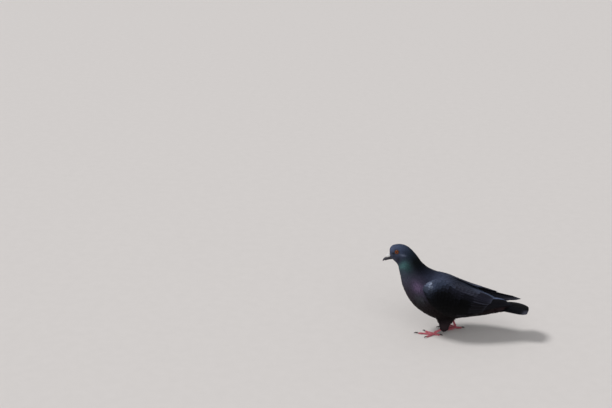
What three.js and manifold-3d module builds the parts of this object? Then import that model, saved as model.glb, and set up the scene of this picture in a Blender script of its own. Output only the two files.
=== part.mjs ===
// A life-size feral pigeon (Columba livia) standing in mid-stride with its head up and its wings folded.
// Millimetres, +Z up. The bird faces -X, its left side is towards -Y, and it stands on the floor, z = 0.
// The body is lofted whole along one spine and parted with thin cuts. The wings and the tail are
// panels wrapped round it, and the legs, toes and claws are short lofts of their own.
import * as THREE from "three";
import { mergeVertices } from "three/addons/utils/BufferGeometryUtils.js";
import Module from "manifold-3d";

const wasm = await Module();
wasm.setup();

// ---- driving dimensions ----

const GAP = 0.35; // clear space between two pieces that touch
const LEFT = -1; // the sign of y on the bird's left side
const RIGHT = 1;
const MIDDLE_X = 18.3; // x of the middle of the bird's length, which the finished group moves to x = 0

// The spine from brow to tail base. Each station is [x, z] of its middle, then the half height
// across the spine in the bird's upright plane and the half width to each side.
const SPINE_STATIONS = [
  { at: [-121.8, 170], half: [16.8, 10.9] }, // brow
  { at: [-110.5, 172], half: [18.8, 13] }, // face
  { at: [-97.5, 170], half: [22.1, 14.7] }, // crown and jaw
  { at: [-84.5, 157.5], half: [22.8, 16.6] }, // nape
  { at: [-74, 137], half: [27.8, 21.2] }, // middle of the neck
  { at: [-59, 113], half: [38, 33.4] }, // root of the neck
  { at: [-35.5, 91.5], half: [47, 42] }, // breast
  { at: [-2, 77], half: [49, 44.5] }, // shoulders and keel
  { at: [30, 73], half: [38.5, 42] }, // loins
  { at: [60, 69.5], half: [29, 36] }, // rump
  { at: [90, 66.5], half: [19.5, 28.5] }, // tail coverts
  { at: [118, 66], half: [9.5, 22] }, // tail base
];
const BODY_ROUND_ENDS = 0.1; // the share of the spine over which each end closes

// Where the body is parted: a point [x, z] on the spine, and the way the spine runs there.
const THROAT_CUT = { at: [-88, 158], along: [0.62, -0.78] };
const NECK_ROOT_CUT = { at: [-58, 114], along: [0.64, -0.77] };
const RUMP_CUT = { at: [64, 71], along: [1, 0] };

// The outline of the folded wings, as ellipses across X at even stations from WING_START. Each row is
// the ellipse's middle height, half height and half width, then the wing's lower and upper edge as
// angles on it, in degrees, where 0 points straight out to the side and 90 straight up.
const WING_START = -55;
const WING_STEP = 25;
const WING_STATIONS = [
  [98, 30, 39, 8, 42],
  [90, 41, 49, -14, 56],
  [80, 47, 50.5, -22, 71],
  [75.5, 41, 49.5, -33, 66],
  [73.5, 33.5, 45, -40, 65],
  [73.5, 26, 38.5, -38, 61],
  [74.5, 17, 31, -36, 54],
  [75, 10.5, 24, -34, 44],
  [75.5, 4.5, 18, -22, 30],
];
const WING_THICKNESS = [9, 9, 8, 7.5, 6.5, 5, 2.6, 2, 1.2]; // at the same stations
const WING_REACH = { [LEFT]: 141, [RIGHT]: 155 }; // x of each wing tip: the two fold a little unevenly
const PANEL_GAP = 0.6; // between one panel of a wing and the next
const SECONDARY_STEP = 0.9; // how far the flight feathers lie below the coverts
const PRIMARY_STEP = 1.6;

const TAIL = { root: 98, tip: 172, rootHeight: 67.5, rootHalf: 19, tipHalf: 31.5 };
const TAIL_DROOP = [3, 6]; // the fall of the tail's middle line: the straight part, then the curved part
const TAIL_THICKNESS = { root: 6, tip: 1.8 };
const TAIL_DOME = 3; // how far the middle of the tail stands above its edges
const TAIL_SWING = 5; // how far the tail's tip is carried over to the right
const TAIL_CORNER = { left: 8, right: 25 }; // how far the outer tail feathers stop short of the middle ones

const EYE = { x: -105.5, y: 7.4, z: 177.4, radius: 6 };
const LID = { radius: 4.3, half: 0.85, out: 4.4 }; // the bare ring, and how far it lies outside the eye's middle

// Each leg runs thigh feathers, ankle, foot. Heights are above the floor.
const LEGS = [
  {
    name: "left",
    side: LEFT,
    thigh: [[8, 19, 66], [2, 22, 50], [-1.5, 22.5, 38], [-2, 22.5, 26], [-2.2, 22, 13]],
    thighHalf: [[21, 13], [20, 14.5], [16, 12], [12, 9.2], [8.8, 6.6]],
    shank: [[7, 22, 24], [-2.5, 22.1, 17.5], [-13.5, 22.2, 10.2], [-23.5, 22.2, 4.2]],
    turn: 2,
  },
  {
    name: "right",
    side: RIGHT,
    thigh: [[22, 18, 66], [18, 20.5, 52], [14.5, 20.5, 40], [13, 19.8, 32], [12.5, 19, 24]],
    thighHalf: [[20, 13], [17.5, 14], [13, 11.5], [9.5, 8.4], [6, 5.4]],
    shank: [[12, 19.5, 33], [15, 18.6, 22], [18.5, 17.4, 11.5], [22, 16.4, 4.2]],
    turn: 3,
  },
];
const SHANK_HALF = [[3.1, 2.5], [2.2, 1.9], [2.2, 1.9], [3.5, 3.3]];

// Toes, by their number in anatomy: heading in degrees outwards from straight ahead, length and claw.
const TOES = [
  { number: 1, heading: 174, reach: 13, claw: 6.2 },
  { number: 2, heading: -34, reach: 22.5, claw: 6.6 },
  { number: 3, heading: 0, reach: 33, claw: 8.8 },
  { number: 4, heading: 48, reach: 21.5, claw: 6.4 },
];
const TOE_HALF = 2.15;
const TOE_HEIGHT = 1.65; // of a toe's middle line, so that its sole is cut flat by the floor
const CLAW_CLEARANCE = 0.5; // a claw's tip stays this far above the floor

// ---- colours of the sub-parts ----

function finish(color, roughness, metalness = 0) {
  return new THREE.MeshStandardMaterial({ color, roughness, metalness });
}
const HEAD_FEATHERS = finish("#3f4657", 0.6);
const NECK_FEATHERS = finish("#2c4244", 0.4, 0.3);
const BODY_FEATHERS = finish("#25272f", 0.65);
const WING_COVERTS = finish("#262a35", 0.55);
const FLIGHT_FEATHERS = finish("#1d1c20", 0.55);
const TAIL_FEATHERS = finish("#202026", 0.6);
const LEG_FEATHERS = finish("#38323a", 0.8);
const RED_SCALES = finish("#b8435a", 0.5);
const CLAW_HORN = finish("#2b2624", 0.4);
const BILL_HORN = finish("#3b3a40", 0.45);
const CERE_SKIN = finish("#dedad4", 0.8);
const EYE_IRIS = finish("#c2571a", 0.1);
const LID_SKIN = finish("#7d828e", 0.6);

// ---- solids ----

function toSolid(geometry) {
  const shell = geometry.clone();
  shell.deleteAttribute("normal");
  shell.deleteAttribute("uv");
  const merged = mergeVertices(shell, 1e-4);
  const build = (triVerts) =>
    new wasm.Manifold(
      new wasm.Mesh({
        numProp: 3,
        vertProperties: merged.attributes.position.array,
        triVerts,
      }),
    );
  const triVerts = new Uint32Array(merged.index.array);
  const solid = build(triVerts);
  // A shape made on the other side of the bird comes out mirrored, so its faces are turned round.
  return solid.volume() > 0 ? solid : build(triVerts.reverse());
}

// The largest piece that a cut leaves.
function mainPiece(solid) {
  return solid.decompose().sort((a, b) => b.volume() - a.volume())[0];
}

function cutClear(solid, ...others) {
  return mainPiece(others.reduce((left, other) => left.subtract(other), solid));
}

function toMesh(name, solid, material) {
  const { vertProperties, triVerts } = solid.getMesh();
  const geometry = new THREE.BufferGeometry();
  geometry.setAttribute("position", new THREE.BufferAttribute(vertProperties, 3));
  geometry.setIndex(new THREE.BufferAttribute(triVerts, 1));
  geometry.computeVertexNormals();
  const mesh = new THREE.Mesh(geometry, material);
  mesh.name = name;
  return mesh;
}

function reshape(geometry, move) {
  const position = geometry.attributes.position;
  const point = new THREE.Vector3();
  for (let i = 0; i < position.count; i++) {
    point.fromBufferAttribute(position, i);
    move(point);
    position.setXYZ(i, point.x, point.y, point.z);
  }
  return geometry;
}

const smoothThrough = (points) => new THREE.CatmullRomCurve3(points, false, "catmullrom", 0.5);

// 0 at an end of a loft, rising on a quarter circle to 1 where the end's share is over.
const roundedEnd = (t, share) => (t < share ? Math.sqrt(1 - (1 - t / share) ** 2) : 1);

// A closed body with oval sections along a curve. sizes runs over the same t as the curve, and
// holds the half height in x and the half width in y. across is the direction of the half width.
function loft({ spine, sizes, across, around, along, roundEnds = 0.12, grow = 0 }) {
  const side = new THREE.Vector3();
  const up = new THREE.Vector3();
  return reshape(new THREE.SphereGeometry(1, around, along), (p) => {
    const t = Math.acos(THREE.MathUtils.clamp(p.y, -1, 1)) / Math.PI;
    const ring = Math.hypot(p.x, p.z);
    const angle = Math.atan2(p.z, p.x);
    const middle = spine.getPoint(t);
    const tangent = spine.getTangent(t);
    side.copy(across).addScaledVector(tangent, -across.dot(tangent)).normalize();
    up.crossVectors(side, tangent).normalize();
    const { x: halfHeight, y: halfWidth } = sizes.getPoint(t);
    const close = ring < 1e-6 ? 0 : roundedEnd(t, roundEnds) * roundedEnd(1 - t, roundEnds);
    p.copy(middle)
      .addScaledVector(up, Math.cos(angle) * (halfHeight * close + (close && grow)))
      .addScaledVector(side, Math.sin(angle) * (halfWidth * close + (close && grow)));
    if (close === 0) p.addScaledVector(tangent, t < 0.5 ? -grow : grow);
  });
}

// ---- head, neck, trunk and rump ----

const ACROSS = new THREE.Vector3(0, 1, 0);
const bodySpine = smoothThrough(SPINE_STATIONS.map(({ at: [x, z] }) => new THREE.Vector3(x, 0, z)));
const bodySizes = smoothThrough(SPINE_STATIONS.map(({ half: [a, b] }) => new THREE.Vector3(a, b, 0)));

function wholeBody(grow) {
  return toSolid(
    loft({
      spine: bodySpine,
      sizes: bodySizes,
      across: ACROSS,
      around: 26,
      along: 40,
      roundEnds: BODY_ROUND_ENDS,
      grow,
    }),
  );
}

// Keeps what lies past a cut, seen along the spine, or before it when facing is -1.
function keep(solid, cut, facing) {
  const normal = new THREE.Vector3(cut.along[0], 0, cut.along[1]).normalize().multiplyScalar(facing);
  const offset = normal.dot(new THREE.Vector3(cut.at[0], 0, cut.at[1])) + GAP / 2;
  return solid.trimByPlane(normal.toArray(), offset);
}

// ---- wings ----

const WING_SPAN = WING_STEP * (WING_STATIONS.length - 1);
const wingOval = smoothThrough(WING_STATIONS.map(([z, a, b]) => new THREE.Vector3(z, a, b)));
const wingEdges = smoothThrough(
  WING_STATIONS.map(([, , , low, high], i) => new THREE.Vector3(low, high, WING_THICKNESS[i])),
);

// One panel of a folded wing. front and rear give x at v, which runs from the lower edge to the upper.
function wingPanel({ side, front, rear, step, pieces: [lengthwise, upwards], grow = 0 }) {
  const stretch = (WING_REACH[side] - WING_START) / (WING_REACH[LEFT] - WING_START);
  return reshape(new THREE.BoxGeometry(1, 1, 1, lengthwise, upwards, 1), (p) => {
    const v = p.y + 0.5;
    const x = THREE.MathUtils.lerp(front(v) - grow, rear(v) + grow, p.x + 0.5);
    const t = THREE.MathUtils.clamp((x - WING_START) / WING_SPAN, 0, 1);
    const { x: middle, y: halfHeight, z: halfWidth } = wingOval.getPoint(t);
    const { x: low, y: high, z: thickness } = wingEdges.getPoint(t);
    const widen = THREE.MathUtils.radToDeg(grow / halfHeight);
    const angle = THREE.MathUtils.degToRad(THREE.MathUtils.lerp(low - widen, high + widen, v));
    const out = new THREE.Vector2(Math.cos(angle) / halfWidth, Math.sin(angle) / halfHeight).normalize();
    const lift = p.z > 0 ? grow - step : -thickness - grow;
    const y = Math.cos(angle) * halfWidth + out.x * lift;
    const z = middle + Math.sin(angle) * halfHeight + out.y * lift;
    p.set(WING_START + (x - WING_START) * stretch, side * y, z);
  });
}

// The panels' borders, as x at v.
const wristFront = (v) => -50 + 36 * (v - 0.58) ** 2;
const covertsRear = (v) => 44 + 18 * v - 10 * (v - 0.5) ** 2;
const secondariesRear = (v) => 75 + 31 * v * v;
const primariesRear = (v) => WING_REACH[LEFT] - 40 * (v - 0.3) ** 2;

function wingPanels(side, grow = 0) {
  const coverts = { front: wristFront, rear: covertsRear, step: 0, pieces: [10, 7] };
  const secondaries = {
    front: (v) => covertsRear(v) + PANEL_GAP,
    rear: secondariesRear,
    step: SECONDARY_STEP,
    pieces: [5, 7],
  };
  const primaries = {
    front: (v) => secondariesRear(v) + PANEL_GAP,
    rear: primariesRear,
    step: PRIMARY_STEP,
    pieces: [7, 5],
  };
  return [coverts, secondaries, primaries].map((panel) => toSolid(wingPanel({ side, grow, ...panel })));
}

// ---- tail ----

function tailSolid(grow = 0) {
  return toSolid(
    reshape(new THREE.BoxGeometry(1, 1, 1, 6, 10, 1), (p) => {
      const across = 2 * p.y;
      const corner = across > 0 ? TAIL_CORNER.right : TAIL_CORNER.left;
      const tip = TAIL.tip - corner * across * across;
      const along = p.x + 0.5;
      const x = THREE.MathUtils.lerp(TAIL.root, tip + grow, along);
      const down = (x - TAIL.root) / (TAIL.tip - TAIL.root);
      const half = THREE.MathUtils.lerp(TAIL.rootHalf, TAIL.tipHalf, Math.sqrt(down)) + grow;
      const thickness = THREE.MathUtils.lerp(TAIL_THICKNESS.root, TAIL_THICKNESS.tip, down) / 2 + grow;
      const middle = TAIL.rootHeight - TAIL_DROOP[0] * down - TAIL_DROOP[1] * down * down;
      const z = middle + TAIL_DOME * (0.4 - across * across) + Math.sign(p.z) * thickness;
      p.set(x, across * half + TAIL_SWING * down, z);
    }),
  );
}

// ---- bill, cere and eyes ----

function loftThrough(points, halves, options) {
  return toSolid(
    loft({
      spine: smoothThrough(points.map(([x, y, z]) => new THREE.Vector3(x, y, z))),
      sizes: smoothThrough(halves.map(([a, b]) => new THREE.Vector3(a, b, 0))),
      across: ACROSS,
      around: 10,
      along: 10,
      ...options,
    }),
  );
}

function upperBill(grow = 0) {
  return loftThrough(
    [[-112, 0, 165.5], [-120, 0, 163.6], [-127, 0, 160.7], [-132.4, 0, 157], [-135.4, 0, 152.4]],
    [[3.6, 4.4], [3.1, 3.6], [2.5, 2.7], [2.1, 2], [0.7, 0.6]],
    { around: 10, along: 9, roundEnds: 0.1, grow },
  );
}

function lowerBill() {
  return loftThrough(
    [[-112, 0, 160.6], [-120, 0, 159.5], [-127, 0, 157], [-131.6, 0, 154.4]],
    [[2.2, 4], [2, 3.2], [1.6, 2.2], [0.8, 1]],
    { around: 10, along: 8, roundEnds: 0.12 },
  );
}

function cere(side) {
  return loftThrough(
    [[-119, side * 2.6, 167.4], [-122.6, side * 2.8, 166.6], [-125.6, side * 2.5, 164.9],
      [-128.4, side * 1.8, 162.6]],
    [[2.2, 2.3], [2.8, 2.6], [2.3, 2.1], [1, 1.1]],
    { around: 9, along: 6, roundEnds: 0.22 },
  );
}

function eyeball(side, grow = 0) {
  const ball = new THREE.SphereGeometry(EYE.radius + grow, 12, 8);
  return toSolid(ball.rotateX(Math.PI / 2).translate(EYE.x, side * EYE.y, EYE.z));
}

function lidRing(side) {
  const ring = new THREE.TorusGeometry(LID.radius, LID.half, 6, 14).rotateX(Math.PI / 2);
  return toSolid(ring.translate(EYE.x, side * (EYE.y + LID.out), EYE.z));
}

// ---- legs ----

function thigh({ side, thigh: points, thighHalf }, grow = 0) {
  const route = points.map(([x, y, z]) => [x, side * y, z]);
  return loftThrough(route, thighHalf, { around: 14, along: 10, roundEnds: 0.1, grow });
}

function shank({ side, shank: points }, grow = 0) {
  const route = points.map(([x, y, z]) => [x, side * y, z]);
  return loftThrough(route, SHANK_HALF, { around: 8, along: 9, roundEnds: 0.1, grow });
}

// The way a toe points on the floor. Outwards is away from the bird's middle on either foot.
function toeDirection({ side, turn }, { heading }) {
  const angle = THREE.MathUtils.degToRad(heading - turn);
  return new THREE.Vector3(-Math.cos(angle), side * Math.sin(angle), 0);
}

function toeAndClaw(leg, toe) {
  const foot = leg.shank.at(-1);
  const ahead = toeDirection(leg, toe);
  const across = new THREE.Vector3(-ahead.y, ahead.x, 0);
  const at = (distance, height) => [
    foot[0] + ahead.x * distance,
    leg.side * foot[1] + ahead.y * distance,
    height,
  ];
  const halves = [[1.08, 1.15], [1, 1.08], [0.84, 0.9], [0.93, 0.98], [0.74, 0.78]];
  const toeSolid = (grow) =>
    loftThrough(
      [at(0, 3.4), at(toe.reach * 0.3, TOE_HEIGHT + 0.3), at(toe.reach * 0.6, TOE_HEIGHT + 0.1),
        at(toe.reach * 0.85, TOE_HEIGHT), at(toe.reach, TOE_HEIGHT)],
      halves.map(([a, b]) => [a * TOE_HALF, b * TOE_HALF]),
      { across, around: 8, along: 7, roundEnds: 0.12, grow },
    );
  const clawSolid = loftThrough(
    [at(toe.reach - 2.5, 2), at(toe.reach + toe.claw * 0.4, 2.9),
      at(toe.reach + toe.claw * 0.8, 2.1), at(toe.reach + toe.claw, CLAW_CLEARANCE + 0.3)],
    [[1.4, 1.1], [1.35, 1], [0.9, 0.65], [0.3, 0.25]],
    { across, around: 6, along: 5, roundEnds: 0.12 },
  );
  const aboveFloor = (solid) => solid.trimByPlane([0, 0, 1], 0);
  return {
    toe: aboveFloor(toeSolid(0)),
    claw: cutClear(clawSolid, toeSolid(GAP)),
    room: toeSolid(GAP),
  };
}

// ---- assembly ----

const pigeon = new THREE.Group();
pigeon.position.x = -MIDDLE_X;
const add = (name, solid, material) => pigeon.add(toMesh(name, solid, material));

const body = wholeBody(0);
const bodyRoom = wholeBody(GAP);
const eyeRooms = { left: eyeball(LEFT, GAP), right: eyeball(RIGHT, GAP) };
const billRoom = upperBill(GAP);

add("head", cutClear(keep(body, THROAT_CUT, -1), eyeRooms.left, eyeRooms.right), HEAD_FEATHERS);
add("neck", keep(keep(body, THROAT_CUT, 1), NECK_ROOT_CUT, -1), NECK_FEATHERS);
add("trunk", keep(keep(body, NECK_ROOT_CUT, 1), RUMP_CUT, -1), BODY_FEATHERS);
add("rump", keep(body, RUMP_CUT, 1), BODY_FEATHERS);

const tailRoom = tailSolid(GAP);
add("tail", cutClear(tailSolid(), bodyRoom), TAIL_FEATHERS);

add("bill_upper", cutClear(upperBill(), bodyRoom), BILL_HORN);
add("bill_lower", cutClear(lowerBill(), bodyRoom, billRoom), BILL_HORN);

const wingRooms = {};
for (const [name, side] of [["left", LEFT], ["right", RIGHT]]) {
  add(`eye_${name}`, eyeball(side), EYE_IRIS);
  add(`lid_${name}`, cutClear(lidRing(side), bodyRoom, eyeRooms[name]), LID_SKIN);
  add(`cere_${name}`, cutClear(cere(side), bodyRoom, billRoom), CERE_SKIN);

  const [coverts, secondaries, primaries] = wingPanels(side);
  add(`wing_${name}_coverts`, cutClear(coverts, bodyRoom), WING_COVERTS);
  add(`wing_${name}_secondaries`, cutClear(secondaries, bodyRoom), FLIGHT_FEATHERS);
  add(`wing_${name}_primaries`, cutClear(primaries, bodyRoom, tailRoom), FLIGHT_FEATHERS);
  wingRooms[name] = wingPanels(side, GAP);
}

for (const leg of LEGS) {
  const thighSolid = cutClear(thigh(leg), bodyRoom, ...wingRooms[leg.name]);
  add(`leg_${leg.name}_thigh`, thighSolid, LEG_FEATHERS);

  const toes = TOES.map((toe) => ({ ...toe, ...toeAndClaw(leg, toe) }));
  const shankRoom = shank(leg, GAP);
  const shankSolid = cutClear(shank(leg).trimByPlane([0, 0, 1], 0), thigh(leg, GAP), bodyRoom);
  add(`leg_${leg.name}_shank`, shankSolid, RED_SCALES);

  // The middle toe keeps its full root, and the toes beside it are cut clear of it.
  const rooms = [shankRoom];
  for (const { number, toe, claw, room } of [toes[2], toes[1], toes[3], toes[0]]) {
    add(`leg_${leg.name}_toe_${number}`, cutClear(toe, ...rooms), RED_SCALES);
    add(`leg_${leg.name}_claw_${number}`, claw, CLAW_HORN);
    rooms.push(room);
  }
}

export default pigeon;
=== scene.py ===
import math

import bmesh
import bpy
import numpy as np
from mathutils import Matrix, Vector
from mathutils.bvhtree import BVHTree
from mathutils.kdtree import KDTree


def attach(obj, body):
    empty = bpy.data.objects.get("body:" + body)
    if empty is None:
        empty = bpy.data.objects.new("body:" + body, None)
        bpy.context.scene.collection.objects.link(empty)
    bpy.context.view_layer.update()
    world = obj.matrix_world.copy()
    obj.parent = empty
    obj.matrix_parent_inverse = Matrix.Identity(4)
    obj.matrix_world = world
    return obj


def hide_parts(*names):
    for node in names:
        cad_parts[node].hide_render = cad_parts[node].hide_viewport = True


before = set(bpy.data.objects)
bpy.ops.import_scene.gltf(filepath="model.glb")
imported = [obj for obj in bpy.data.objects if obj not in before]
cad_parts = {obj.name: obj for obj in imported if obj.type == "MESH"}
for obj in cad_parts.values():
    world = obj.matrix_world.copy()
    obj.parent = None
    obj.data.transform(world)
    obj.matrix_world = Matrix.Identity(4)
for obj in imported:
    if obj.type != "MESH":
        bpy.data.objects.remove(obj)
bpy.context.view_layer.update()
scene = bpy.context.scene
draw = np.random.default_rng(11)
mm = 0.001
print("frame:", len(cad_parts), "nodes")


def linear(hexColour):
    srgb = np.array([int(hexColour[i:i + 2], 16) / 255 for i in (1, 3, 5)])
    return np.where(srgb <= 0.04045, srgb / 12.92, ((srgb + 0.055) / 1.055) ** 2.4)


def newMaterial(name):
    material = bpy.data.materials.new(name)
    material.use_nodes = True
    tree = material.node_tree
    return material, tree, tree.nodes["Principled BSDF"]


# Inputs go by name, or by number as i0, i1 and so on. A node stands for its first output; it or a
# socket is linked, and anything else is set.
def setInputs(tree, node, inputs):
    for key, value in inputs.items():
        byNumber = key[0] == "i" and key[1:].isdigit()
        socket = node.inputs[int(key[1:]) if byNumber else key]
        if isinstance(value, bpy.types.Node):
            value = value.outputs[0]
        if isinstance(value, bpy.types.NodeSocket):
            tree.links.new(value, socket)
        else:
            socket.default_value = value


# A plain word as the settings is the node's operation.
def addNode(tree, kind, settings=None, **inputs):
    node = tree.nodes.new("ShaderNode" + kind)
    if isinstance(settings, str):
        settings = {"operation": settings}
    for key, value in (settings or {}).items():
        setattr(node, key, value)
    setInputs(tree, node, inputs)
    return node


def rampStops(ramp, stops):
    while len(ramp.elements) < len(stops):
        ramp.elements.new(0.5)
    for element, (place, colour) in zip(ramp.elements, stops):
        element.position = place
        element.color = (*linear(colour), 1.0)


# Two close tones in a soft cloud of a real size, mm, which skin, horn and paint share.
def cloudTones(tree, size, detail, stops):
    place = addNode(tree, "TexCoord").outputs["Object"]
    cloud = addNode(tree, "TexNoise", Vector=place, Scale=1 / (size * mm), Detail=detail)
    ramp = addNode(tree, "ValToRGB", Fac=cloud)
    rampStops(ramp.color_ramp, stops)
    return place, cloud, ramp


plumageLook = {
    "roughness": 0.62,          # barbs scatter the light, so a plain feather is nearly matt
    "glossRoughness": 0.38,     # neck and shoulder feathers lie sleeker
    "glossMetal": 0.5,
    "specular": 0.07,           # the down between the barbs swallows most of what shines
    "mottle": 0.16, "mottleSize": 2.6,      # cloudy patches, mm
    "barbDepth": 0.03, "barbShade": 0.035, "barbSlant": 0.35,
    "quillWidth": 0.03, "quillRise": 5.0, "quillShade": 0.3,    # of the vane's width, then by the barbs
}


def plumageMaterial(name, barbs, quill):
    # Feather keratin, grown: soft and nearly matt, with a fine slanting grain of barbs and a faint
    # quill line. The bird's marking is held by every vane and by the skin, so no pale root shows.
    look = plumageLook
    material, tree, shader = newMaterial(name)
    tint = addNode(tree, "Attribute", {"attribute_name": "plumage"})
    place = addNode(tree, "TexCoord").outputs["Object"]
    cloud = addNode(tree, "TexNoise", Vector=place, Scale=1 / (look["mottleSize"] * mm), Detail=3.0)
    shade = addNode(tree, "MapRange", Value=cloud, i1=0.3, i2=0.7, i3=1 - look["mottle"],
                    i4=1 + look["mottle"])
    split = addNode(tree, "SeparateXYZ", Vector=addNode(tree, "UVMap", {"uv_map": "vane"}))
    across = addNode(tree, "Math", "SUBTRACT", i0=split, i1=0.5)
    outward = addNode(tree, "Math", "ABSOLUTE", i0=across)
    slant = addNode(tree, "Math", "MULTIPLY_ADD", i0=outward, i1=-look["barbSlant"], i2=split.outputs["Y"])
    phase = addNode(tree, "Math", "MULTIPLY", i0=slant, i1=barbs * math.tau)
    barb = addNode(tree, "Math", "SINE", i0=phase)
    shaft = addNode(tree, "MapRange", Value=outward, i1=0.0, i2=look["quillWidth"], i3=quill, i4=0.0)
    height = addNode(tree, "Math", "MULTIPLY_ADD", i0=shaft, i1=look["quillRise"], i2=barb)
    relief = addNode(tree, "Bump", Height=height, Strength=0.5, Distance=look["barbDepth"] * mm)
    grained = addNode(tree, "Math", "MULTIPLY_ADD", i0=barb, i1=look["barbShade"], i2=shade)
    lined = addNode(tree, "Math", "MULTIPLY_ADD", i0=shaft, i1=-look["quillShade"], i2=grained)
    colour = addNode(tree, "VectorMath", "SCALE", i0=tint, Scale=lined)
    rough = addNode(tree, "MapRange", Value=tint.outputs["Alpha"], i3=look["roughness"],
                    i4=look["glossRoughness"])
    metal = addNode(tree, "Math", "MULTIPLY", i0=tint.outputs["Alpha"], i1=look["glossMetal"])
    setInputs(tree, shader, {"Base Color": colour, "Roughness": rough, "Metallic": metal, "Normal": relief,
                             "IOR": 1.54, "Specular IOR Level": look["specular"]})
    return material


# Lengths here are in millimetres, in the solids' own drawing, whose x is 18.3 past the frame's.
bird = {
    "middle": 18.3,
    "spine": [(-121.8, 170), (-110.5, 172), (-97.5, 170), (-84.5, 157.5), (-74, 137), (-59, 113),
              (-35.5, 91.5), (-2, 77), (30, 73), (60, 69.5), (90, 66.5), (118, 66)],
    "eye": (-105.5, 7.4, 177.4),
    "eyeAxis": (-0.13, 1.0, 0.26),
}
wing = {
    "start": -55, "step": 25, "reach": {-1: 141, 1: 155},
    "wrist": (-50, 36, 0.58),       # x of its front, how that bends back, and at what height v it stands
    # middle height, half height, half width, then the lower and the upper edge in degrees
    "ovals": [(98, 30, 39, 8, 42), (90, 41, 49, -14, 56), (80, 47, 50.5, -22, 71),
              (75.5, 41, 49.5, -33, 66), (73.5, 33.5, 45, -40, 65), (73.5, 26, 38.5, -38, 61),
              (74.5, 17, 31, -36, 54), (75, 10.5, 24, -34, 44), (75.5, 4.5, 18, -22, 30)],
}
legs = {
    "left": {"side": -1, "radius": [17, 17, 14, 10.6, 7.7],
             "thigh": [(8, -19, 66), (2, -22, 50), (-1.5, -22.5, 38), (-2, -22.5, 26), (-2.2, -22, 13)],
             "shank": [(7, -22, 24), (-23.5, -22.2, 4.2)], "turn": 2},
    "right": {"side": 1, "radius": [16, 15.5, 12.2, 9, 5.7],
              "thigh": [(22, 18, 66), (18, 20.5, 52), (14.5, 20.5, 40), (13, 19.8, 32), (12.5, 19, 24)],
              "shank": [(12, 19.5, 33), (22, 16.4, 4.2)], "turn": 3},
}


def follow(rows, t):
    rows = np.asarray(rows, float)
    padded = np.vstack([2 * rows[0] - rows[1], rows, 2 * rows[-1] - rows[-2]])
    t = np.clip(np.asarray(t, float), 0, len(rows) - 1 - 1e-9)
    i = t.astype(int)
    u = (t - i)[..., None]
    p0, p1, p2, p3 = (padded[i + k] for k in range(4))
    return p1 + 0.5 * u * (p2 - p0 + u * (2 * p0 - 5 * p1 + 4 * p2 - p3 + u * (3 * (p1 - p2) + p3 - p0)))


def unit(vectors):
    return vectors / np.maximum(np.linalg.norm(vectors, axis=-1, keepdims=True), 1e-9)


def hill(value, middle, width):
    return np.exp(-((value - middle) / width) ** 2)


def blend(a, b, share):
    return a + (b - a) * np.clip(share, 0, 1)[..., None]


toFrame = np.array([bird["middle"], 0, 0])
eyeAt = np.array(bird["eye"]) - toFrame
eyeAxis = unit(np.array(bird["eyeAxis"]))
spineT = np.linspace(0, len(bird["spine"]) - 1, 331)
spineXZ = follow(bird["spine"], spineT) - np.array([bird["middle"], 0])
spineLine = np.stack([spineXZ[:, 0], 0 * spineT, spineXZ[:, 1]], 1) * mm
spineAhead = unit(np.gradient(spineLine, axis=0))


# Where points lie on the body: how far along the spine, the way it runs there, and how far they face
# towards the back (1) or the belly (-1).
def bodyPlace(points):
    parts = np.array_split(points, max(1, len(points) // 4000))
    nearest = np.concatenate([np.linalg.norm(part[:, None] - spineLine[None], axis=2).argmin(1)
                              for part in parts])
    ahead = spineAhead[nearest]
    up = np.stack([-ahead[:, 2], 0 * ahead[:, 0], ahead[:, 0]], 1)
    return spineT[nearest], ahead, (unit(points - spineLine[nearest]) * up).sum(1)


def wingOval(x):
    return np.moveaxis(follow(wing["ovals"], (x - wing["start"]) / wing["step"]), -1, 0)


def wingStretch(side):
    return (wing["reach"][side] - wing["start"]) / (wing["reach"][-1] - wing["start"])


# A place on a folded wing, from x along it and v from its lower edge (0) to its upper (1); lift is
# the height over the wing's surface.
def onWing(x, v, lift, side):
    middle, halfHeight, halfWidth, low, high = wingOval(x)
    angle = np.radians(low + (high - low) * v)
    out = unit(np.stack([np.cos(angle) / halfWidth, np.sin(angle) / halfHeight], -1))
    y = np.cos(angle) * halfWidth + out[..., 0] * lift
    z = middle + np.sin(angle) * halfHeight + out[..., 1] * lift
    along = wing["start"] + (x - wing["start"]) * wingStretch(side) - bird["middle"]
    return np.stack([along, side * y, z], -1) * mm


wingX = np.linspace(wing["start"], wing["start"] + wing["step"] * (len(wing["ovals"]) - 1), 60)
wingBand = np.array([np.linalg.norm(np.diff(onWing(np.full(20, x), np.linspace(0, 1, 20), 0, -1), axis=0),
                                    axis=1).sum() / mm for x in wingX])


# The wing's x and v under points near it, and how far they stand out of its surface.
def wingPlace(points):
    stretch = np.where(points[:, 1] < 0, wingStretch(-1), wingStretch(1))
    x = wing["start"] + (points[:, 0] / mm + bird["middle"] - wing["start"]) / stretch
    middle, halfHeight, halfWidth, low, high = wingOval(x)
    y, z = np.abs(points[:, 1]) / mm / halfWidth, (points[:, 2] / mm - middle) / halfHeight
    out = (np.hypot(y, z) - 1) * np.minimum(halfHeight, halfWidth)
    return x, (np.degrees(np.arctan2(z, y)) - low) / (high - low), out


def thighPlace(points, leg):
    t = np.linspace(0, len(leg["thigh"]) - 1, 41)
    line = (follow(leg["thigh"], t) - toFrame) * mm
    away = np.linalg.norm(points[:, None] - line[None], axis=2)
    nearest = away.argmin(1)
    radius = np.interp(t, range(len(leg["radius"])), leg["radius"]) * mm
    return t[nearest], unit(np.gradient(line, axis=0))[nearest], away.min(1) / radius[nearest]


# From 0 at a height on a leg to 1 so many millimetres below it.
def downLeg(points, height, over):
    return np.clip((height - points[:, 2] / mm) / over, 0, 1)


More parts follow.
